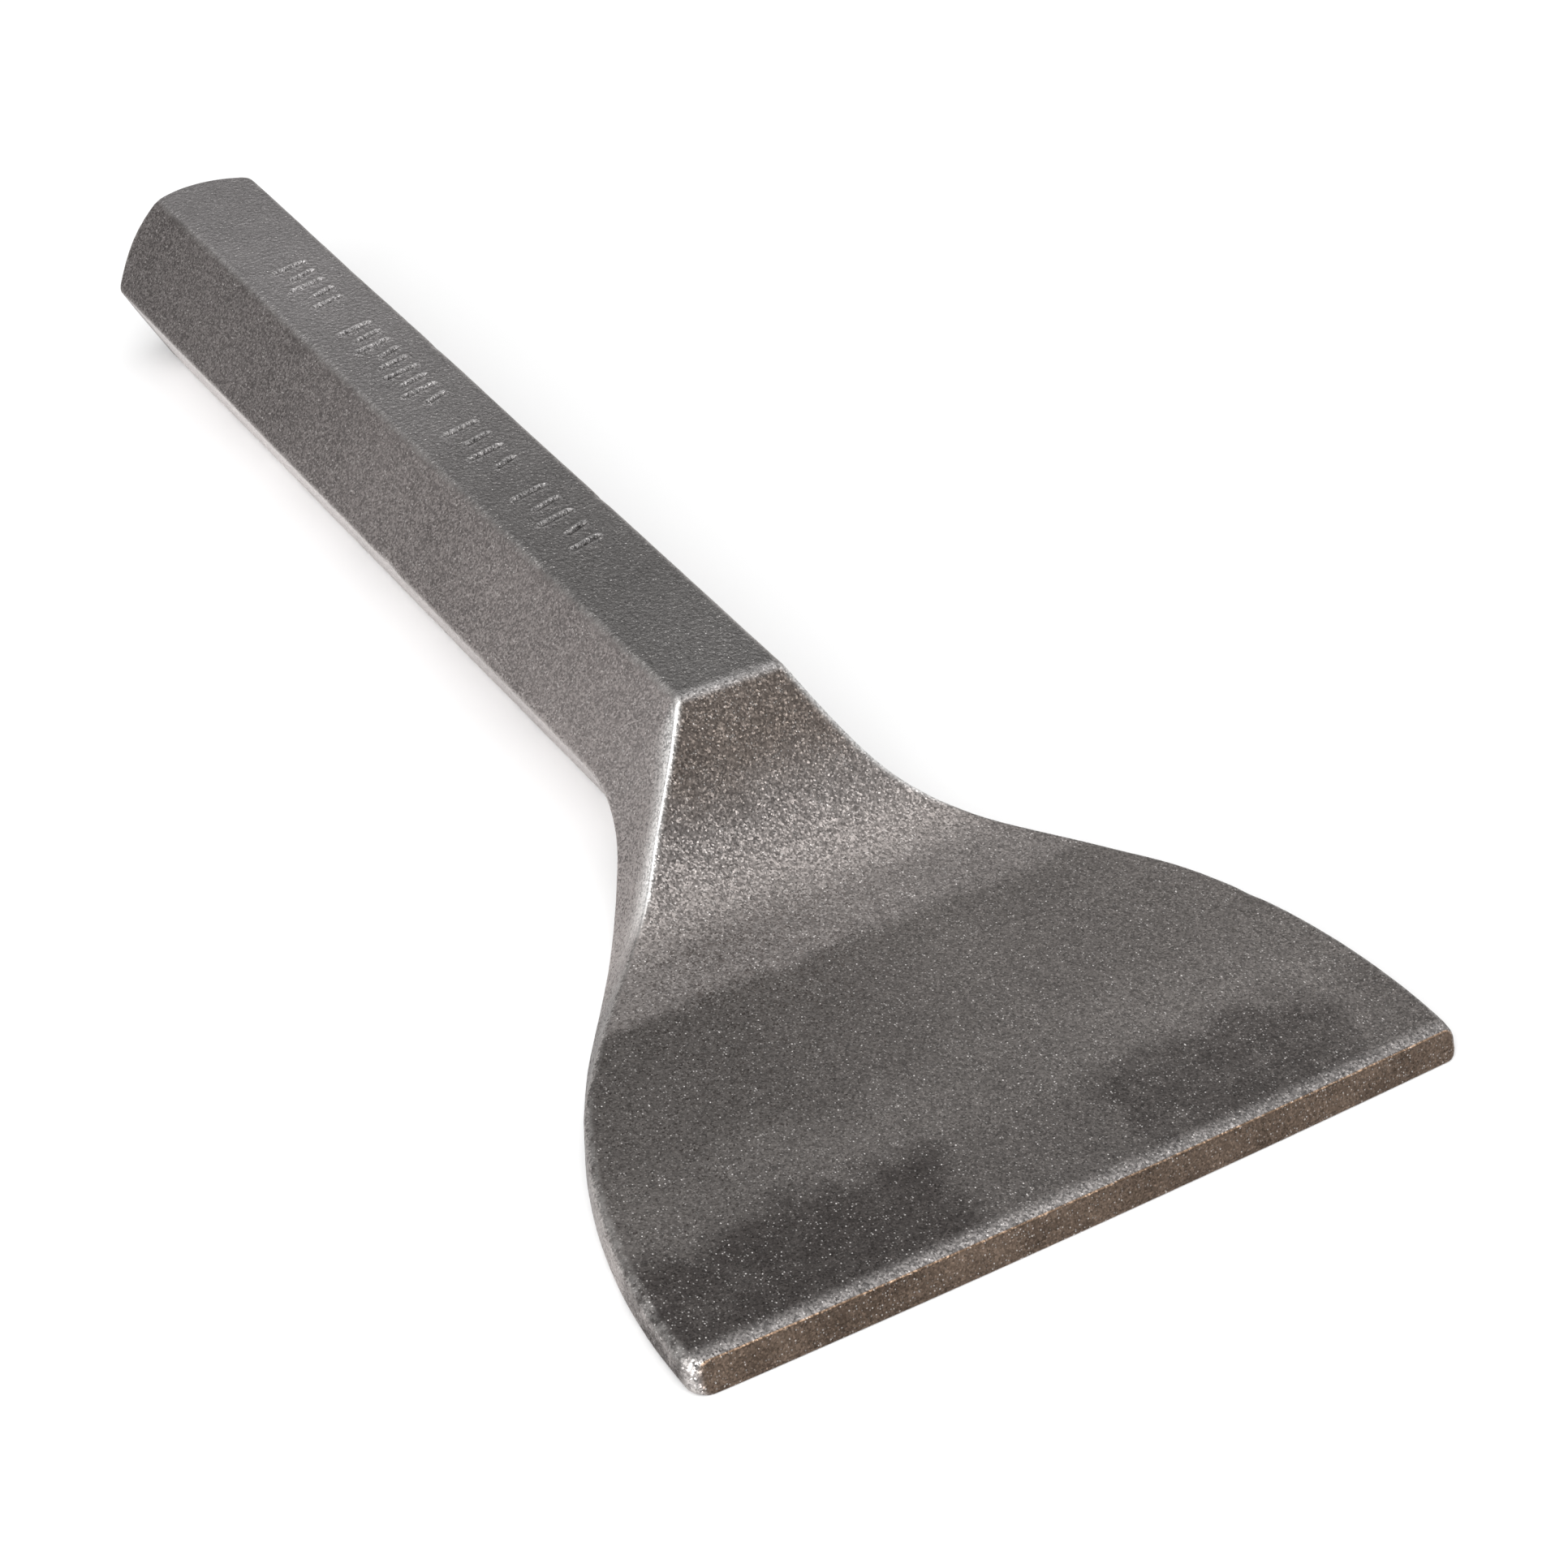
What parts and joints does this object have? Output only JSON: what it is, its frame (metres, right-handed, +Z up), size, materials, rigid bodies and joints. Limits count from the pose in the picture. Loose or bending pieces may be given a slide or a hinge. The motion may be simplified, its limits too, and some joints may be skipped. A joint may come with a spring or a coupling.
{
  "type": "brick chisel",
  "caption": "One-piece forged mason's brick chisel with a hexagonal bar shank, a struck head, and a wide fan-shaped blade with a flat back and a blunt ground edge.",
  "frame": {"origin": "middle of the footprint, on the plane of the flat back", "axes": "+Y along the tool towards the struck head, the blade at -Y; +X across the blade; +Z up out of the flat back"},
  "size_m": [0.0888, 0.198, 0.0222],
  "materials": {
    "forged_steel": "shot-blasted forged steel, dark grey, heat-tinted brown towards the edge"
  },
  "bodies": {
    "root": {"chisel_body": "forged_steel"}
  },
  "joints": []
}
